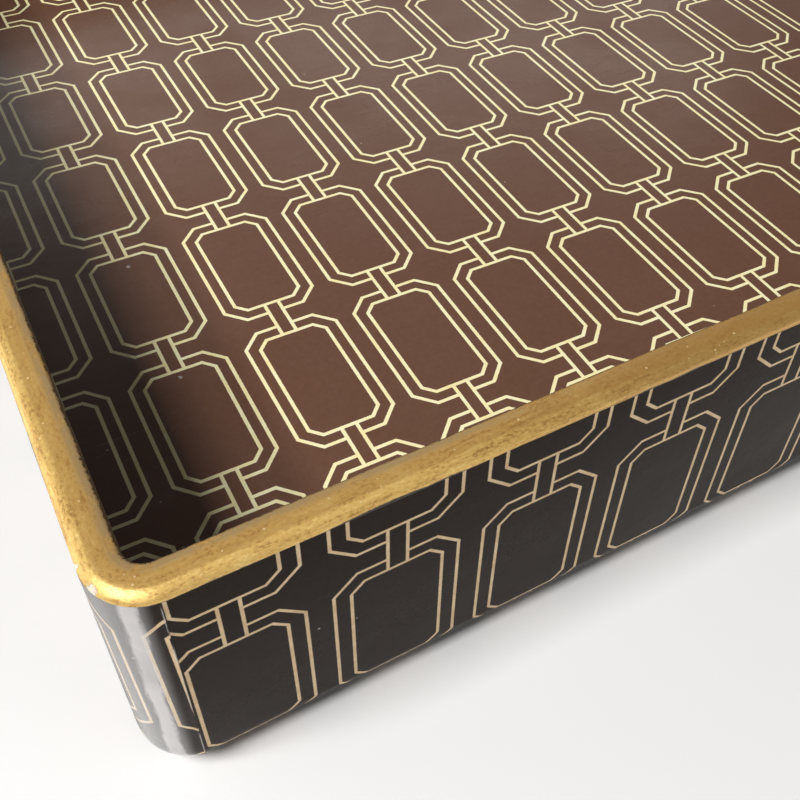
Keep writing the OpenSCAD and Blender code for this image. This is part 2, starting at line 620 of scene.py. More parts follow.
@dataclass(frozen=True)
class LacquerSkin:
    """Clear lacquer brushed over paper: faint waves, fine scratches, dust and dull patches."""

    wave: float = 0.045
    peel: float = 0.35

    def build(self) -> Tree:
        """Builds the group that gives the lacquer's height, dullness, dust and mottle.

        Returns:
            The group's tree, which takes a place in millimetres.
        """
        w, source, sink = new_group(
            "lacquer_skin", {"Place": Kind.PLACE},
            {"Height": Kind.NUMBER, "Dull": Kind.NUMBER, "Dust": Kind.NUMBER, "Mottle": Kind.NUMBER},
        )
        place = source.outputs["Place"]
        peel = w.math("MULTIPLY", w.noise(place, self.peel), 0.12)
        nick = w.ramp(w.streaks(place, 0.05, 3.0, 2.0, 0.7), 0.66, 0.74)
        surface = w.math("ADD", w.noise(place, self.wave), peel)
        w.feed(sink.inputs["Height"], w.math("ADD", surface, w.math("MULTIPLY", nick, -0.03)))
        patches = w.ramp(w.noise(place, 0.03, 4.0, 0.6), 0.35, 0.75)
        dull = w.math("ADD", w.math("MULTIPLY", patches, 0.7), w.math("MULTIPLY", nick, 0.5))
        w.feed(sink.inputs["Dull"], dull)
        w.feed(sink.inputs["Dust"], w.specks(place, 0.16, 0.042))
        w.feed(sink.inputs["Mottle"], w.noise(place, 0.9, 5.0, 0.65))
        return w.tree


class Groups:
    """Shader node groups, each built once and shared by the finishes."""

    def __init__(self) -> None:
        """Builds every group."""
        self.trellis = Trellis().build()
        self.lacquer = LacquerSkin().build()


class Finish:
    """What all finishes share: a material with a Principled shader."""

    @staticmethod
    def start(name: str) -> tuple[Material, Wiring, Node]:
        """Makes a material.

        Args:
            name: Name of the material.

        Returns:
            The material, the wiring of its tree and its Principled node.
        """
        material = bpy.data.materials.new(name)
        material.use_nodes = True
        w = Wiring(material.node_tree)
        shader = w.add("ShaderNodeBsdfPrincipled")
        output = w.add("ShaderNodeOutputMaterial")
        w.feed(output.inputs["Surface"], shader.outputs[0])
        return material, w, shader

    @staticmethod
    def object_place(w: Wiring) -> Socket:
        """The place on the piece in its own frame, in millimetres."""
        return w.stretch(w.add("ShaderNodeTexCoord").outputs["Object"], (1 / MM, 1 / MM, 1 / MM))

    @staticmethod
    def relief(w: Wiring, shader: Node, height: Socket, depth: float) -> None:
        """Gives a shader a bump.

        Args:
            w: The material's wiring.
            shader: Its Principled node.
            height: The bump's height, from 0 to about 1.
            depth: What a height of 1 means, in metres.
        """
        bump = w.add("ShaderNodeBump")
        bump.inputs["Strength"].default_value = 1.0
        bump.inputs["Distance"].default_value = depth
        w.feed(bump.inputs["Height"], height)
        w.feed(shader.inputs["Normal"], bump.outputs[0])


@dataclass(frozen=True)
class FlatPrint:
    """How the print lies on a flat piece: its origin in metres, turn in degrees, and lean."""

    origin: tuple[float, float, float]
    turn: float
    lean: float


@dataclass(frozen=True)
class PaperFinish(Finish):
    """Printed paper under gloss lacquer. Line and seam are in millimetres."""

    name: str
    ground: Colour
    ground_light: Colour
    ink: Colour
    ink_dark: Colour
    line: float
    gloss: float = 0.14
    dull: float = 0.16
    shine: float = 0.5
    corner_coat: float = 0.0
    coat_rough: float = 0.08
    coat_ior: float = 2.4
    seam: float = 4.2
    # Pale colour of scuffs, of the seam's torn edge, and of the painted highlight streak on the corner
    rub: Colour = srgb(206, 201, 200)
    dust: Colour = srgb(214, 205, 190)
    bump: float = 0.25 * MM
    scuffs: tuple[Spot, ...] = ()

    def material(self, groups: Groups, flat: FlatPrint | None = None) -> Material:
        """Makes the material.

        Args:
            groups: The shared node groups.
            flat: How the print lies, for a flat piece that carries no print places.

        Returns:
            The material.
        """
        material, w, shader = self.start(self.name)
        place, from_highlight_line = self._flat_place(w, flat) if flat else self._carried_place(w)
        lean = flat.lean if flat else 0.0
        line = w.group(groups.trellis, place=place, lean=lean, width=self.line).outputs["Line"]
        skin = w.group(groups.lacquer, place=place)
        ground = w.mix(w.ramp(skin.outputs["Mottle"], 0.3, 0.7), self.ground, self.ground_light)
        ink = w.mix(w.ramp(w.noise(place, 0.25, 4.0, 0.7), 0.3, 0.72), self.ink_dark, self.ink)
        colour = w.mix(line, ground, ink)
        colour = w.mix(w.math("MULTIPLY", skin.outputs["Dust"], 0.5), colour, self.dust)
        dull = skin.outputs["Dull"]
        if self.scuffs:
            scuffed = w.patches(self.object_place(w), self.scuffs)
            colour = w.mix(w.math("MULTIPLY", scuffed, 0.55), colour, self.rub)
        # Painted highlight: a pale streak down the front left corner, partly lacquer wear, stands in for
        # its reflection
        if from_highlight_line is not None and self.corner_coat:
            worn_highlight = self._worn_highlight(w, place, from_highlight_line)
            colour = w.mix(worn_highlight, colour, self.rub)
            dull = w.math("MULTIPLY_ADD", worn_highlight, 0.5, dull)
            colour = w.mix(self._frayed(w, place, from_highlight_line), colour, self.rub)
            self._coat(w, shader, from_highlight_line)
        w.feed(shader.inputs["Base Color"], colour)
        w.feed(shader.inputs["Roughness"], w.math("MULTIPLY_ADD", dull, self.dull, self.gloss))
        shader.inputs["Specular IOR Level"].default_value = self.shine
        self.relief(w, shader, skin.outputs["Height"], self.bump)
        return material

    @staticmethod
    def _flat_place(w: Wiring, flat: FlatPrint) -> tuple[Socket, None]:
        """Finds the place in the print on a flat piece.

        Args:
            w: The material's wiring.
            flat: How the print lies.

        Returns:
            The place in millimetres, and nothing for the way from the highlight line.
        """
        mapping = w.add("ShaderNodeMapping", vector_type="TEXTURE")
        w.feed(mapping.inputs["Vector"], w.add("ShaderNodeTexCoord").outputs["Object"])
        w.feed(mapping.inputs["Location"], flat.origin)
        w.feed(mapping.inputs["Rotation"], (0, 0, math.radians(flat.turn)))
        w.feed(mapping.inputs["Scale"], (MM, MM, MM))
        return mapping.outputs[0], None

    @staticmethod
    def _carried_place(w: Wiring) -> tuple[Socket, Socket]:
        """The place in the print that the mesh carries, and the way from the line of the painted
        highlight.
        """
        carried = w.carried(PRINT_PLACE)
        return w.stretch(carried, (1, 1, 0)), w.split(carried)[2]

    @staticmethod
    def _worn_highlight(w: Wiring, place: Socket, from_highlight_line: Socket) -> Socket:
        """Mask of the pale streak along the corner: a painted highlight, partly lacquer wear.

        Args:
            w: The material's wiring.
            place: The place in the print.
            from_highlight_line: The way from the line of the painted highlight.

        Returns:
            The mask.
        """
        sway = w.math("SUBTRACT", w.streaks(place, 0.3, 0.10, 4.0, 0.6), 0.5)
        off = w.math("ABSOLUTE", w.math("MULTIPLY_ADD", sway, 2.4, from_highlight_line))
        faint = w.ramp(w.streaks(place, 0.02, 0.06, 2.0), 0.25, 0.6, 0.5, 0.85)
        return w.math("MULTIPLY", w.ramp(off, 0.75, 1.6, 1.0, 0.0), faint)

    def _frayed(self, w: Wiring, place: Socket, from_highlight_line: Socket) -> Socket:
        """Mask of the torn fibres along the paper's seam.

        Args:
            w: The material's wiring.
            place: The place in the print.
            from_highlight_line: The way from the line of the painted highlight.

        Returns:
            The mask.
        """
        torn = w.ramp(w.streaks(place, 0.5, 0.2, 3.0), 0.42, 0.58, 0.0, 0.6)
        off = w.math("ABSOLUTE", w.math("SUBTRACT", from_highlight_line, self.seam))
        return w.math("MULTIPLY", w.ramp(off, 0.05, 0.14, 1.0, 0.0), torn)

    def _coat(self, w: Wiring, shader: Node, from_highlight_line: Socket) -> None:
        """Gives the corner the thicker gloss that lacquer gathers there.

        Args:
            w: The material's wiring.
            shader: Its Principled node.
            from_highlight_line: The way from the line of the painted highlight.
        """
        ahead = w.ramp(from_highlight_line, 0.6, 3.4, self.corner_coat, 0.0)
        w.feed(shader.inputs["Coat Weight"], w.math("MULTIPLY", w.ramp(from_highlight_line, -9.0, -3.6), ahead))
        shader.inputs["Coat Roughness"].default_value = self.coat_rough
        shader.inputs["Coat IOR"].default_value = self.coat_ior


@dataclass(frozen=True)
class GiltFinish(Finish):
    """Gold paint, brushed along the rim, with wear at its edges.

    The ways across the rim's section and along it are in millimetres.
    """

    name: str = "gilt"
    gold: Colour = srgb(226, 186, 107)
    bright: Colour = srgb(246, 216, 138)
    brown: Colour = srgb(176, 132, 70)
    umber: Colour = srgb(140, 100, 50)
    haze: Colour = srgb(160, 136, 102)
    deep: Colour = srgb(62, 46, 28)
    paper: Colour = srgb(34, 27, 22)
    silver: Colour = srgb(232, 226, 214)
    glint: Colour = srgb(255, 232, 176)
    crest: float = 3.1
    inner_edge: float = 6.3
    brown_wave_run: float = 320.0
    brown_wave_shift: float = 3.986
    metal: float = 0.35
    bump: float = 0.10 * MM
    chips: tuple[Spot, ...] = (
        (-202.4, -147.0, 50.4, 1.6),
        (-201.6, -149.2, 50.0, 0.9),
        (-202.7, -143.0, 50.4, 0.7),
        (197.5, 151.0, 50.6, 1.8),
        (-202.6, 60.0, 50.5, 1.2),
        (140.0, -152.3, 50.5, 1.0),
    )

    def material(self) -> Material:
        """Makes the material.

        Returns:
            The material.
        """
        material, w, shader = self.start(self.name)
        place = w.carried(BRUSH_PLACE)
        run, across, _ = w.split(place)
        dabs = w.streaks(place, 0.16, 0.55, 5.0, 0.62)
        strokes = w.streaks(place, 0.02, 1.7, 5.0, 0.65)
        grain = w.streaks(place, 1.3, 1.9, 5.0, 0.68)
        jitter = w.math("SUBTRACT", grain, 0.5)
        tone = w.math("ADD", w.math("MULTIPLY", dabs, 0.36), w.math("MULTIPLY", strokes, 0.20))
        tone = w.math("MULTIPLY_ADD", grain, 0.44, tone)
        browner = self._browner_stretches(w, run, tone)
        colour = w.mix(w.ramp(tone, 0.39, 0.51), self.brown, self.gold)
        colour = w.mix(w.ramp(tone, 0.51, 0.64), colour, self.bright)
        colour = w.mix(browner, colour, self.umber)
        # Painted shade: the flat top beyond the crest is mixed towards brown, so the outer roll reads as
        # lit
        colour = w.mix(w.ramp(across, self.crest - 0.2, self.crest + 0.4, 0.0, 0.5), colour, self.brown)
        inside = w.math("MULTIPLY_ADD", jitter, 1.6, across)
        colour = w.mix(self._hazed(w, inside, dabs, browner), colour, self.haze)
        # Painted shade: the rim's inner face, down to the lining, is darkened for the gap there and for
        # the edge the gold leaves bare
        shade = w.ramp(inside, self.inner_edge + 0.1, self.inner_edge + 0.4, 0.0, 0.92)
        colour = w.mix(shade, colour, self.deep)
        bubbles = self._bubbles_and_glints(w, place, across)
        # Painted highlight: the bubbles near the crest are lightened to pale gold glints
        colour = w.mix(w.math("MULTIPLY", bubbles, 0.7), colour, self.glint)
        above = self._above_paper(w, place, across, jitter)
        painted = w.ramp(above, -0.1, 0.1)
        colour = w.mix(painted, self.paper, colour)
        colour = w.mix(w.ramp(w.math("ABSOLUTE", above), 0.06, 0.16, 0.4, 0.0), colour, self.haze)
        chipped = w.patches(self.object_place(w), self.chips)
        colour = w.mix(w.math("MULTIPLY", chipped, 0.9), colour, self.silver)
        w.feed(shader.inputs["Base Color"], colour)
        w.feed(shader.inputs["Metallic"], w.math("MULTIPLY", painted, self.metal))
        w.feed(shader.inputs["Roughness"], w.math("MULTIPLY_ADD", grain, 0.3, 0.22))
        height = w.math("ADD", w.math("MULTIPLY", dabs, 0.6), w.math("MULTIPLY", grain, 0.6))
        height = w.math("ADD", height, w.math("MULTIPLY", bubbles, 0.3))
        self.relief(w, shader, w.math("SUBTRACT", height, chipped), self.bump)
        return material

    def _browner_stretches(self, w: Wiring, run: Socket, tone: Socket) -> Socket:
        """Mask of slow stretches along the rim that are browner, set by a wave along its run."""
        wave = w.math("SINE", w.math("MULTIPLY_ADD", run, math.tau / self.brown_wave_run, -self.brown_wave_shift))
        return w.ramp(w.math("MULTIPLY_ADD", tone, -1.6, wave), -1.1, -0.1, 0.0, 0.6)

    def _hazed(self, w: Wiring, inside: Socket, dabs: Socket, browner: Socket) -> Socket:
        """Mask of the dull film near the inner edge.

        Args:
            w: The material's wiring.
            inside: The way across the section, made uneven.
            dabs: The dabs of the brush.
            browner: The mask of the browner stretches, which take less of the film.

        Returns:
            The mask.
        """
        film = w.ramp(inside, self.inner_edge - 1.5, self.inner_edge - 0.2)
        film = w.math("MULTIPLY", film, w.ramp(dabs, 0.36, 0.54))
        return w.math("MULTIPLY", film, w.ramp(browner, 0.0, 0.4, 0.7, 0.1))

    def _bubbles_and_glints(self, w: Wiring, place: Socket, across: Socket) -> Socket:
        """Mask of the dried bubbles near the crest, which also places the painted glints."""
        band = w.ramp(w.math("ABSOLUTE", w.math("SUBTRACT", across, self.crest)), 1.2, 2.8, 1.0, 0.0)
        return w.math("MULTIPLY", w.specks(place, 0.85, 0.18), band)

    @staticmethod
    def _above_paper(w: Wiring, place: Socket, across: Socket, jitter: Socket) -> Socket:
        """Finds how far a place lies above the wavering lower edge of the paint.

        Args:
            w: The material's wiring.
            place: The place along the brush strokes.
            across: The way across the section.
            jitter: The grain about its middle.

        Returns:
            The distance in millimetres, below zero on bare paper.
        """
        waver = w.ramp(w.streaks(place, 0.03, 0.0, 4.0, 0.6), 0.35, 0.65, -0.3, 0.5)
        return w.math("MULTIPLY_ADD", jitter, 0.4, w.math("SUBTRACT", across, waver))


@dataclass(frozen=True)
class FeltFinish(Finish):
    """Pressed felt with matted fibres."""

    name: str = "felt"
    dark: Colour = srgb(20, 20, 22)
    light: Colour = srgb(52, 51, 54)
    lint: Colour = srgb(150, 148, 144)
    rough: float = 0.95
    sheen: float = 0.3
    bump: float = 0.4 * MM

    def material(self) -> Material:
        """Makes the material.

        Returns:
            The material.
        """
        material, w, shader = self.start(self.name)
        place = self.object_place(w)
        fibres = w.noise(w.stretch(place, (1.0, 0.6, 1.0)), 2.2, 6.0, 0.75)
        clumps = w.noise(place, 0.12, 3.0)
        blend = w.math("ADD", w.math("MULTIPLY", fibres, 0.7), w.math("MULTIPLY", clumps, 0.3))
        colour = w.mix(w.ramp(blend, 0.3, 0.7), self.dark, self.light)
        colour = w.mix(w.math("MULTIPLY", w.specks(place, 0.25, 0.10), 0.5), colour, self.lint)
        w.feed(shader.inputs["Base Color"], colour)
        shader.inputs["Roughness"].default_value = self.rough
        shader.inputs["Sheen Weight"].default_value = self.sheen
        self.relief(w, shader, fibres, self.bump)
        return material


@dataclass(frozen=True)
class BoardFinish(Finish):
    """Bare pressed board: fine chips in a sandy brown, darker flecks."""

    name: str = "fibreboard"
    pale: Colour = srgb(196, 160, 118)
    deep: Colour = srgb(146, 108, 70)
    fleck: Colour = srgb(92, 64, 40)
    bump: float = 0.15 * MM

    def material(self) -> Material:
        """Makes the material.

        Returns:
            The material.
        """
        material, w, shader = self.start(self.name)
        place = self.object_place(w)
        chips = w.noise(place, 1.3, 6.0, 0.7)
        flecks = w.specks(w.stretch(place, (0.6, 0.6, 2.0)), 0.8, 0.16)
        colour = w.mix(w.ramp(chips, 0.32, 0.68), self.deep, self.pale)
        colour = w.mix(w.math("MULTIPLY", flecks, 0.6), colour, self.fleck)
        w.feed(shader.inputs["Base Color"], colour)
        w.feed(shader.inputs["Roughness"], w.math("MULTIPLY_ADD", chips, 0.2, 0.72))
        self.relief(w, shader, chips, self.bump)
        return material


@dataclass(frozen=True)
class PinFinish(Finish):
    """Drawn steel wire with spots of rust."""

    name: str = "pin_steel"
    steel: Colour = srgb(176, 176, 180)
    rust: Colour = srgb(118, 74, 46)

    def material(self) -> Material:
        """Makes the material.

        Returns:
            The material.
        """
        material, w, shader = self.start(self.name)
        place = self.object_place(w)
        spots = w.ramp(w.noise(place, 0.8, 4.0, 0.6), 0.55, 0.7)
        w.feed(shader.inputs["Base Color"], w.mix(spots, self.steel, self.rust))
        w.feed(shader.inputs["Metallic"], w.math("SUBTRACT", 1.0, spots))
        w.feed(shader.inputs["Roughness"], w.math("MULTIPLY_ADD", spots, 0.4, 0.32))
        return material


@dataclass(frozen=True)
class PrintCut:
    """How a wall paper was cut from the printed roll.

    Across and up say where its pattern starts, in millimetres. The turn is in degrees.
    """

    across: float
    up: float
    turn: float

    def place(self, run: float, rise: float) -> tuple[float, float]:
        """Turns a place on the unrolled paper into a place in the print.

        Args:
            run: The place along the wall, in metres.
            rise: The place up the wall, in metres.

        Returns:
            The place in the print, in millimetres.
        """
        angle = math.radians(-self.turn)
        x = run / MM - self.across
        y = rise / MM - self.up
        return x * math.cos(angle) - y * math.sin(angle), x * math.sin(angle) + y * math.cos(angle)


@dataclass
class WallPaper:
    """What the outer covers and inner linings share.

    A line for a painted highlight streak, given as lacquer wear, stands at an angle round each corner.
    Papers hold the way from it as far as its reach, and all corners but the front left keep clear of it.
    """

    KIND: ClassVar[str]
    SLOT: ClassVar[str]
    SMOOTH: ClassVar[float] = 40

    sizes: TraySizes
    cuts: dict[Side, PrintCut]
    rub_angle: float = math.radians(34.5)
    rub_reach: float = 20 * MM
    rub_clear: float = 2.8 * MM

    def build(self, material: Material) -> None:
        """Makes, prints and registers the papers of all four sides.

        Args:
            material: The printed paper.
        """
        for side in Side:
            piece = self.sheet(side)
            self.print_on(piece, side)
            Bench.smooth(piece, self.SMOOTH)
            register(piece, material, f"{side.label}_{self.KIND}")

    def sheet(self, side: Side) -> Piece:
        """Models one paper, which each kind of paper does in its own way."""
        raise NotImplementedError

    def unroll(self, side: Side, place: Vector) -> tuple[float, float, float]:
        """Finds where a point of the paper lies when the paper is flat.

        Args:
            side: The side the paper is on.
            place: A point of the finished paper.

        Returns:
            Its run along the wall and its rise, in metres, and its way round a corner from the line of the
            painted highlight, in millimetres.
        """
        z = self.sizes
        spot = Matrix.Rotation(-side.turn, 3, "Z") @ place
        along = abs(spot.x) - z.straight(side) / 2
        depth = spot.y + z.half(side)
        angle = 0.0
        if along > 0:
            angle = math.atan2(along, z.corner_r - depth)
            depth = z.corner_r - math.hypot(along, z.corner_r - depth)
        run = min(abs(spot.x), z.straight(side) / 2) + angle * z.corner_r
        highlight_line_angle = self.rub_angle if side.is_long else math.pi / 2 - self.rub_angle
        past = max(run - z.straight(side) / 2 - highlight_line_angle * z.corner_r, -self.rub_reach)
        if place.x > 0 or place.y > 0:
            past = -max(abs(past), self.rub_clear)
        from_highlight_line = -past if side.is_long else past
        return math.copysign(run, spot.x), self.rise(depth, spot.z), from_highlight_line / MM

    def rise(self, depth: float, height: float) -> float:
        """Height of a point on the unrolled paper, counted on round the arris and under the base.

        Args:
            depth: How far the point lies inside the wall's outer face.
            height: Its height on the tray.

        Returns:
            The height, which goes below zero under the base.
        """
        z = self.sizes
        if height >= z.arris_z:
            return height
        if depth <= z.arris_r:
            return z.arris_z - math.atan2(z.arris_z - height, z.arris_r - depth) * z.arris_r
        return z.arris_z - math.pi / 2 * z.arris_r - (depth - z.arris_r)

    def print_on(self, piece: Piece, side: Side) -> None:
        """Writes the print's place onto the finished mesh.

        Args:
            piece: The finished paper.
            side: Its side.
        """
        attribute = piece.data.attributes.new(PRINT_PLACE, "FLOAT_VECTOR", "POINT")
        for vertex, spot in zip(piece.data.vertices, attribute.data):
            run, rise, past = self.unroll(side, vertex.co)
            spot.vector = (*self.cuts[side].place(run, rise), past)


@dataclass
class Covers(WallPaper):
    """Printed papers on the outside, carried round the arris and turned under."""

    KIND: ClassVar[str] = "cover"
    SLOT: ClassVar[str] = "cover_paper"

    seam_angle: float = math.radians(12)
    lap: float = 0.7 * MM
    lap_lift: float = 0.2 * MM
    arris_steps: int = 8
    corner_steps: int = 14
    seam_steps: int = 3

    def sheet(self, side: Side) -> Piece:
        """Models one cover at the front and turns it to its side.

        Args:
            side: The cover's side.

        Returns:
            The cover.
        """
        z = self.sizes
        half, run = z.half(side), z.straight(side)
        tall = z.board_top - z.arris_z
        piece = Bench.plate(
            f"printed_{side.label}_cover", (run, tall),
            (0, -half, z.arris_z + tall / 2), (math.pi / 2, 0, 0),
        )
        Bench.open(piece)
        for end in (-1, 1):
            bpy.ops.mesh.select_all(action="SELECT")
            bpy.ops.mesh.bisect(plane_co=(end * (run / 2 - self.rub_reach), 0, 0), plane_no=(1, 0, 0))
        Bench.pick(piece, Part.EDGE, lambda c: abs(c.z - z.arris_z) < TOUCH)
        Bench.sweep_round((0, z.arris_r - half, z.arris_z), (1, 0, 0), math.pi / 2, self.arris_steps)
        Bench.draw_out((0, z.corner_r - z.arris_r, 0))
        for end in (-1, 1):
            self._wrap(piece, side, end)
        self._turn_under(piece, side)
        Bench.tidy(piece, lambda c: Vector((0, -1, 0)) if c.z > z.arris_z else Vector((0, 0, -1)))
        Bench.close()
        Bench.apply(piece, "SOLIDIFY", thickness=z.paper_t, offset=-1.0, use_even_offset=True)
        Bench.turn_to(piece, side)
        return piece

    def _turn_under(self, piece: Piece, side: Side) -> None:
        """Draws the flap on under the base and mitres both its ends.

        Args:
            piece: The cover in edit mode.
            side: Its side.
        """
        z = self.sizes
        half, reach = z.half(side), z.straight(side) / 2
        flap = z.under_end - z.corner_r

        def under(c: Vector, depth: float) -> bool:
            """Whether a place lies under the base at a depth."""
            return abs(c.y + half - depth) < TOUCH and c.z < z.arris_z / 2

        Bench.pick(piece, Part.EDGE, lambda c: abs(c.x) < reach - TOUCH and under(c, z.corner_r))
        Bench.draw_out((0, flap, 0))
        for end in (-1, 1):
            Bench.pick(piece, Part.VERT, lambda c: c.x * end > reach - TOUCH and under(c, z.under_end))
            bpy.ops.transform.translate(value=(-end * flap, 0, 0))

    def _wrap(self, piece: Piece, side: Side, end: int) -> None:
        """Carries a cover round one of its corners as far as the seam.

        The short side's cover laps over the long side's.

        Args:
            piece: The cover in edit mode.
            side: Its side.
            end: 1 for the corner at the positive end, -1 for the other.
        """
        z = self.sizes
        half, reach = z.half(side), z.straight(side) / 2
        Bench.pick(
            piece, Part.EDGE, lambda c: abs(c.x - end * reach) < TOUCH and c.y < z.corner_r - half + TOUCH
        )
        axis = Vector((end * reach, z.corner_r - half, 0))
        if side.is_long:
            Bench.sweep_round(axis, (0, 0, 1), end * self.seam_angle, self.seam_steps)
            return
        turn = math.pi / 2 - self.seam_angle
        Bench.sweep_round(axis, (0, 0, 1), end * turn, self.corner_steps)
        onward = Vector((end * math.cos(turn), math.sin(turn), 0))
        outward = Vector((end * math.sin(turn), -math.cos(turn), 0))
        rounded = z.corner_r - z.arris_r
        Bench.pick(
            piece, Part.EDGE,
            lambda c: (c - axis).dot(onward) > -TOUCH and (c.xy - axis.xy).dot(outward.xy) > rounded,
        )
        Bench.draw_out(onward * self.lap + outward * self.lap_lift)


@dataclass
class Linings(WallPaper):
    """Printed papers on the inside of the walls."""

    KIND: ClassVar[str] = "lining"
    SLOT: ClassVar[str] = "lining_paper"

    corner_steps: int = 8

    def sheet(self, side: Side) -> Piece:
        """Models one lining at the front and turns it to its side.

        Args:
            side: The lining's side.

        Returns:
            The lining.
        """
        z = self.sizes
        half, run = z.half(side), z.straight(side)
        tall = z.board_top - z.floor_top
        piece = Bench.plate(
            f"printed_{side.label}_lining", (run, tall),
            (0, z.wall_t - half, z.floor_top + tall / 2), (math.pi / 2, 0, math.pi),
        )
        Bench.open(piece)
        if not side.is_long:
            for end in (-1, 1):
                reach = end * run / 2
                corner = (reach, z.corner_r - half, 0)
                Bench.pick(piece, Part.EDGE, lambda c: abs(c.x - reach) < TOUCH)
                Bench.sweep_round(corner, (0, 0, 1), end * math.pi / 2, self.corner_steps)
        Bench.tidy(piece, lambda c: Vector((0, 1, 0)))
        Bench.close()
        Bench.apply(piece, "SOLIDIFY", thickness=z.paper_t, offset=-1.0, use_even_offset=True)
        Bench.turn_to(piece, side)
        return piece


@dataclass
class GiltRim:
    """The gold-painted top edge, swept round the tray and slightly uneven as a hand-finished edge is."""

    sizes: TraySizes
    outer_steps: int = 8
    inner_steps: int = 5
    corner_steps: int = 16
    cuts: int = 90
    roundness: float = 0.38
    roll: float = 1.8 * MM
    uneven: float = 0.22 * MM
    lump: float = 9 * MM
    long_run: float = 100 * MM
    top_band: float = 0.1 * MM
    smooth: float = 50

    def build(self, material: Material) -> None:
        """Makes and registers the rim.

        Args:
            material: The gold paint.
        """
        piece = self._sweep()
        self._soften(piece)
        self._brush(piece)
        register(piece, material, "gilt_rim")

    def _sweep(self) -> Piece:
        """Draws the section as a plate, rounds its upper arrises and takes it round the tray.

        Returns:
            The rim.
        """
        z = self.sizes
        start = -z.straight(Side.FRONT) / 2
        half = z.half(Side.FRONT)
        piece = Bench.plate(
            "brushed_gilt_rim", (z.wall_t, z.rim_h),
            (start, z.wall_t / 2 - half, z.board_top + z.rim_h / 2), (math.pi / 2, 0, math.pi / 2),
        )
        Bench.open(piece)
        for edge_y, radius, steps in (
            (-half, z.rim_outer_r, self.outer_steps),
            (z.wall_t - half, z.rim_inner_r, self.inner_steps),
        ):
            Bench.pick(piece, Part.VERT, lambda c: abs(c.y - edge_y) < TOUCH and c.z > z.height - TOUCH)
            bpy.ops.mesh.bevel(affect="VERTICES", offset=radius, segments=steps, profile=self.roundness)
        Bench.pick(piece, Part.VERT, lambda c: c.y < z.rim_outer_r - half + TOUCH)
        bpy.ops.transform.resize(value=(1, self.roll / z.rim_outer_r, 1), center_override=(0, -half, 0))
        Bench.pick_all(Part.FACE)
        bpy.ops.mesh.delete(type="ONLY_FACE")
        Bench.pick_all(Part.EDGE)
        heading = Vector((1, 0, 0))
        corner = Vector((-start, z.corner_r - half, 0))
        for side in Side:
            Bench.draw_out(heading * z.straight(side))
            Bench.sweep_round(corner, (0, 0, 1), math.pi / 2, self.corner_steps)
            heading = Vector((-heading.y, heading.x, 0))
            following = Side.RIGHT if side.is_long else Side.FRONT
            corner = corner + heading * z.straight(following)
        Bench.tidy(piece, self._outward)
        Bench.close()
        return piece

    def _outward(self, place: Vector) -> Vector:
        """The way the rim's top looks; the faces below it have no say."""
        on_top = place.z > self.sizes.height - self.top_band
        return Vector((0, 0, 1)) if on_top else Vector((0, 0, 0))

    def _soften(self, piece: Piece) -> None:
        """Divides the long runs and moves the surface a little in and out.

        Args:
            piece: The swept rim.
        """
        Bench.open(piece)
        bpy.ops.mesh.select_mode(type="EDGE")
        bpy.ops.mesh.select_all(action="DESELECT")
        mesh = bmesh.from_edit_mesh(piece.data)
        for edge in mesh.edges:
            edge.select_set(edge.calc_length() > self.long_run)
        bmesh.update_edit_mesh(piece.data)
        bpy.ops.mesh.subdivide(number_cuts=self.cuts)
        Bench.close()
        lumps = bpy.data.textures.new("rim_lumps", "CLOUDS")
        lumps.noise_scale = self.lump
        lumps.noise_depth = 2
        Bench.apply(
            piece, "DISPLACE", texture=lumps, texture_coords="LOCAL", strength=self.uneven, mid_level=0.5
        )
        Bench.smooth(piece, self.smooth)

    def _brush(self, piece: Piece) -> None:
        """Writes the run along the rim and the way across it, in millimetres, for the brush strokes.

        Args:
            piece: The finished rim.
        """
        mesh = piece.data
        attribute = mesh.attributes.new(BRUSH_PLACE, "FLOAT_VECTOR", "CORNER")
        lap = sum(self.sizes.straight(side) + math.pi / 2 * self.sizes.corner_r for side in Side) / MM
        for face in mesh.polygons:
            places = [self._along(mesh.vertices[mesh.loops[i].vertex_index].co) for i in face.loop_indices]
            furthest = max(place[0] for place in places)
            for index, (run, across) in zip(face.loop_indices, places):
                wrapped = run + lap if furthest - run > lap / 2 else run
                attribute.data[index].vector = (wrapped, across, 0)

    def _along(self, place: Vector) -> tuple[float, float]:
        """Finds where a point lies along the rim and across its section.

        Args:
            place: A point of the rim.

        Returns:
            The run from the middle of the left side, and the way across from the lower outer edge, both in
            millimetres.
        """
        z = self.sizes
        x, y = z.straight(Side.FRONT) / 2, z.straight(Side.RIGHT) / 2
        quarter = math.pi / 2 * z.corner_r
        over_x, over_y = abs(place.x) - x, abs(place.y) - y
        depth = z.corner_r - max(over_x, over_y)
        turn = 0.0
        if over_x > 0 and over_y > 0:
            depth = z.corner_r - math.hypot(over_x, over_y)
            turn = math.atan2(over_y, over_x) * z.corner_r
        elif over_y > over_x:
            turn = quarter + x - abs(place.x)
        part = turn + min(y, abs(place.y))
        half_lap = 2 * (y + quarter + x)
        run = part if place.x < 0 else half_lap - part
        if place.y > 0:
            run = 2 * half_lap - run
        flat_end = z.wall_t - z.rim_inner_r
        if depth > flat_end:
            return run / MM, (flat_end + z.rim_h + z.height - place.z) / MM
        return run / MM, (depth + place.z - z.board_top) / MM


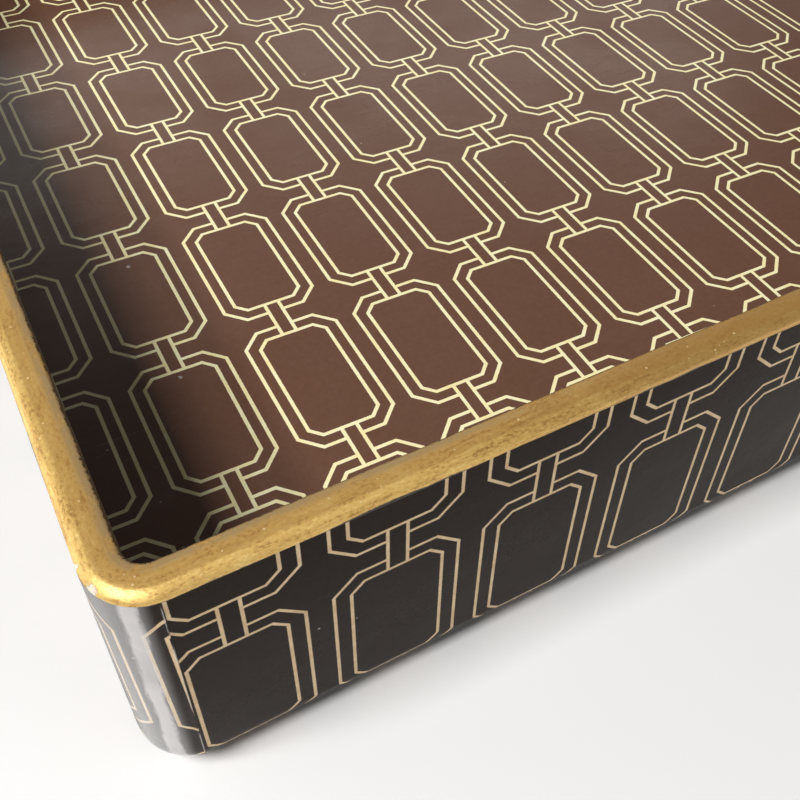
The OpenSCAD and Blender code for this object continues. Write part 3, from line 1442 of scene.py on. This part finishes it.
@dataclass
class FeltBase:
    """The felt under the base, a flat sheet laid on the board."""

    sizes: TraySizes
    corner_steps: int = 6
    edge: float = 0.3 * MM
    edge_steps: int = 2
    smooth: float = 40

    def build(self, material: Material) -> None:
        """Makes and registers the felt.

        Args:
            material: The felt's material.
        """
        z = self.sizes
        flat = (z.length - 2 * z.under_end, z.width - 2 * z.under_end)
        piece = Bench.plate("pressed_felt_base", flat, (0, 0, 0), (math.pi, 0, 0))
        Bench.open(piece)
        Bench.pick_all(Part.VERT)
        bpy.ops.mesh.bevel(affect="VERTICES", offset=z.felt_r, segments=self.corner_steps, profile=0.5)
        Bench.close()
        Bench.apply(piece, "SOLIDIFY", thickness=z.felt_t, offset=-1.0)
        Bench.apply(piece, "BEVEL", width=self.edge, segments=self.edge_steps, limit_method="ANGLE")
        Bench.smooth(piece, self.smooth)
        register(piece, material, "felt_base")


@dataclass
class Carcase:
    """The boards, pins and floor paper, whose solids are kept and given finishes."""

    nodes: dict[str, Piece]
    boards: tuple[str, ...] = (
        "base_board", "front_rail", "right_rail", "back_rail", "left_rail",
        "front_left_post", "front_right_post", "back_right_post", "back_left_post",
    )

    def dress(self, board: Material, pin: Material, paper: Material) -> None:
        """Gives the solids their materials.

        Args:
            board: The material of the boards and posts.
            pin: The material of the pins.
            paper: The material of the floor paper.
        """
        for name in self.boards:
            self._paint(name, board)
        self._paint("base_pins", pin)
        self._paint("floor_paper", paper)

    def _paint(self, name: str, material: Material) -> None:
        """Gives one solid its material."""
        for slot in self.nodes[name].material_slots:
            slot.material = material
        LOG.info("%s: %s", name, material.name)


@dataclass(frozen=True)
class Lamp:
    """A soft rectangular lamp that looks at a point."""

    name: str
    place: tuple[float, float, float]
    aim: tuple[float, float, float]
    size: tuple[float, float]
    watts: float
    colour: Colour

    def build(self) -> None:
        """Adds the lamp."""
        data = bpy.data.lights.new(self.name, "AREA")
        data.shape = "RECTANGLE"
        data.size, data.size_y = self.size
        data.energy = self.watts
        data.color = self.colour
        lamp = bpy.data.objects.new(self.name, data)
        bpy.context.scene.collection.objects.link(lamp)
        lamp.location = self.place
        look = Vector(self.aim) - Vector(self.place)
        lamp.rotation_euler = look.to_track_quat("-Z", "Y").to_euler()


PANE_LIGHT: Colour = (1.0, 0.985, 0.965)


@dataclass
class Studio:
    """Table top, lamps, surroundings and camera."""

    lens: float = 45.74
    shift_y: float = -0.0875
    camera_place: tuple[float, float, float] = (-0.200585, -0.22159, 0.16259)
    camera_right: tuple[float, float, float] = (0.88103, -0.47289, 0.0125)
    camera_up: tuple[float, float, float] = (0.32905, 0.6316, 0.70201)
    sensor: float = 36
    clip_start: float = 0.005
    table_colour: Colour = srgb(241, 241, 242)
    table_shade: float = 0.97
    table_rough: float = 0.55
    table_size: float = 3
    table_drop: float = 0.1 * MM
    room_light: Colour = (1.0, 0.99, 0.975)
    sky: float = 0.06
    mirrored_sky: float = 0.1
    lamps: tuple[Lamp, ...] = (
        Lamp("near_pane", (-0.85, -0.24, 1.30), (-0.05, -0.24, 0.0), (0.6, 0.30), 14.5, PANE_LIGHT),
        Lamp("far_pane", (-1.20, -0.24, 1.26), (-0.05, -0.24, 0.0), (0.6, 0.14), 12.5, PANE_LIGHT),
        Lamp("left_card", (-1.40, 0.75, 0.32), (-0.20, 0.0, 0.05), (0.7, 0.4), 4.0, (1.0, 0.99, 0.98)),
        Lamp("back_window", (0.60, 1.95, 1.20), (-0.10, 0.06, 0.0), (2.6, 0.42), 5.0, (1.0, 0.97, 0.93)),
        Lamp("right_card", (0.75, -0.95, 0.28), (0.0, -0.15, 0.02), (0.8, 0.3), 3.6, (1.0, 0.98, 0.96)),
    )

    def build(self) -> None:
        """Sets up everything around the tray."""
        self._table()
        for lamp in self.lamps:
            lamp.build()
        self._surroundings()
        self._camera()
        bpy.context.scene.view_settings.view_transform = "Standard"

    def _table(self) -> None:
        """Adds the pale table top."""
        square = (self.table_size, self.table_size)
        table = Bench.plate("table_top", square, (0, 0, -self.table_drop), (0, 0, 0))
        material, w, shader = Finish.start("table_white")
        place = Finish.object_place(w)
        cloud = w.noise(place, 0.004, 3.0)
        shaded = tuple(c * self.table_shade for c in self.table_colour)
        w.feed(shader.inputs["Base Color"], w.mix(w.ramp(cloud, 0.3, 0.7), self.table_colour, shaded))
        shader.inputs["Roughness"].default_value = self.table_rough
        table.data.materials.append(material)

    def _surroundings(self) -> None:
        """Gives the world an even soft light, brighter where the camera or a mirroring face sees it."""
        world = bpy.data.worlds.new("soft_room")
        bpy.context.scene.world = world
        world.use_nodes = True
        w = Wiring(world.node_tree)
        shade = w.add("ShaderNodeBackground")
        path = w.add("ShaderNodeLightPath")
        w.feed(shade.inputs["Color"], rgba(self.room_light))
        mirrored = w.math("MULTIPLY", path.outputs["Is Glossy Ray"], self.mirrored_sky)
        seen = w.math("MAXIMUM", path.outputs["Is Camera Ray"], mirrored)
        w.feed(shade.inputs["Strength"], w.math("MAXIMUM", seen, self.sky))
        w.feed(w.add("ShaderNodeOutputWorld").inputs["Surface"], shade.outputs[0])

    def _camera(self) -> None:
        """Adds the camera."""
        data = bpy.data.cameras.new("photo_camera")
        data.sensor_width = self.sensor
        data.lens = self.lens
        data.shift_y = self.shift_y
        data.clip_start = self.clip_start
        camera = bpy.data.objects.new("photo_camera", data)
        bpy.context.scene.collection.objects.link(camera)
        right = Vector(self.camera_right).normalized()
        up = Vector(self.camera_up)
        up = (up - right * up.dot(right)).normalized()
        turn = Matrix((right, up, right.cross(up))).transposed()
        camera.matrix_world = Matrix.Translation(self.camera_place) @ turn.to_4x4()
        bpy.context.scene.camera = camera


FLOOR_PRINT = PaperFinish(
    "floor_print", srgb(103, 71, 55), srgb(108, 76, 60), srgb(255, 251, 210), srgb(254, 239, 180), 0.76,
    gloss=0.26,
    scuffs=((-172.6, -78.9, 7.4, 0.7), (-191.4, -90.2, 7.4, 0.4), (-171.8, -41.4, 7.4, 0.7)),
)
FLOOR_PLACE = FlatPrint(origin=(-172.774 * MM, -91.293 * MM, 0), turn=-1.107, lean=0.01538)
# Painted shade: the covers carry the floor's paper darkened, its ground several times darker and its ink
# dimmer
SHADED_COVER_PRINT = PaperFinish(
    "cover_print_shaded", srgb(34, 25, 18), srgb(40, 30, 23), srgb(230, 206, 168), srgb(212, 182, 142), 0.56,
    gloss=0.2, shine=0.038, corner_coat=1.0,
)
COVER_CUTS = {
    Side.FRONT: PrintCut(-186.9, 19.23, 0.54),
    Side.RIGHT: PrintCut(4.0, 24.0, -0.4),
    Side.BACK: PrintCut(7.5, 17.0, 0.3),
    Side.LEFT: PrintCut(138.94, 28.9, 2.0),
}
# Painted shade: the linings carry the floor's paper with a darker ground and dimmer ink, for their upright
# faces
SHADED_LINING_PRINT = PaperFinish(
    "lining_print_shaded", srgb(60, 44, 36), srgb(66, 49, 41), srgb(246, 226, 176), srgb(232, 206, 152), 0.64
)
LINING_CUTS = {
    Side.FRONT: PrintCut(3.0, 14.0, 0.2),
    Side.RIGHT: PrintCut(-6.0, 26.0, 0.5),
    Side.BACK: PrintCut(9.0, 21.0, -0.3),
    Side.LEFT: PrintCut(2.0, 18.0, 0.4),
}


def main() -> None:
    """Loads the frame, builds every piece and sets up the studio."""
    logging.basicConfig(level=logging.INFO, format="%(name)s %(message)s")
    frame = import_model()
    sizes = TraySizes()
    groups = Groups()
    floor = FLOOR_PRINT.material(groups, FLOOR_PLACE)
    Carcase(frame["nodes"]).dress(BoardFinish().material(), PinFinish().material(), floor)
    Covers(sizes, COVER_CUTS).build(SHADED_COVER_PRINT.material(groups))
    Linings(sizes, LINING_CUTS).build(SHADED_LINING_PRINT.material(groups))
    GiltRim(sizes).build(GiltFinish().material())
    FeltBase(sizes).build(FeltFinish().material())
    Studio().build()


if __name__ == "__main__":
    main()
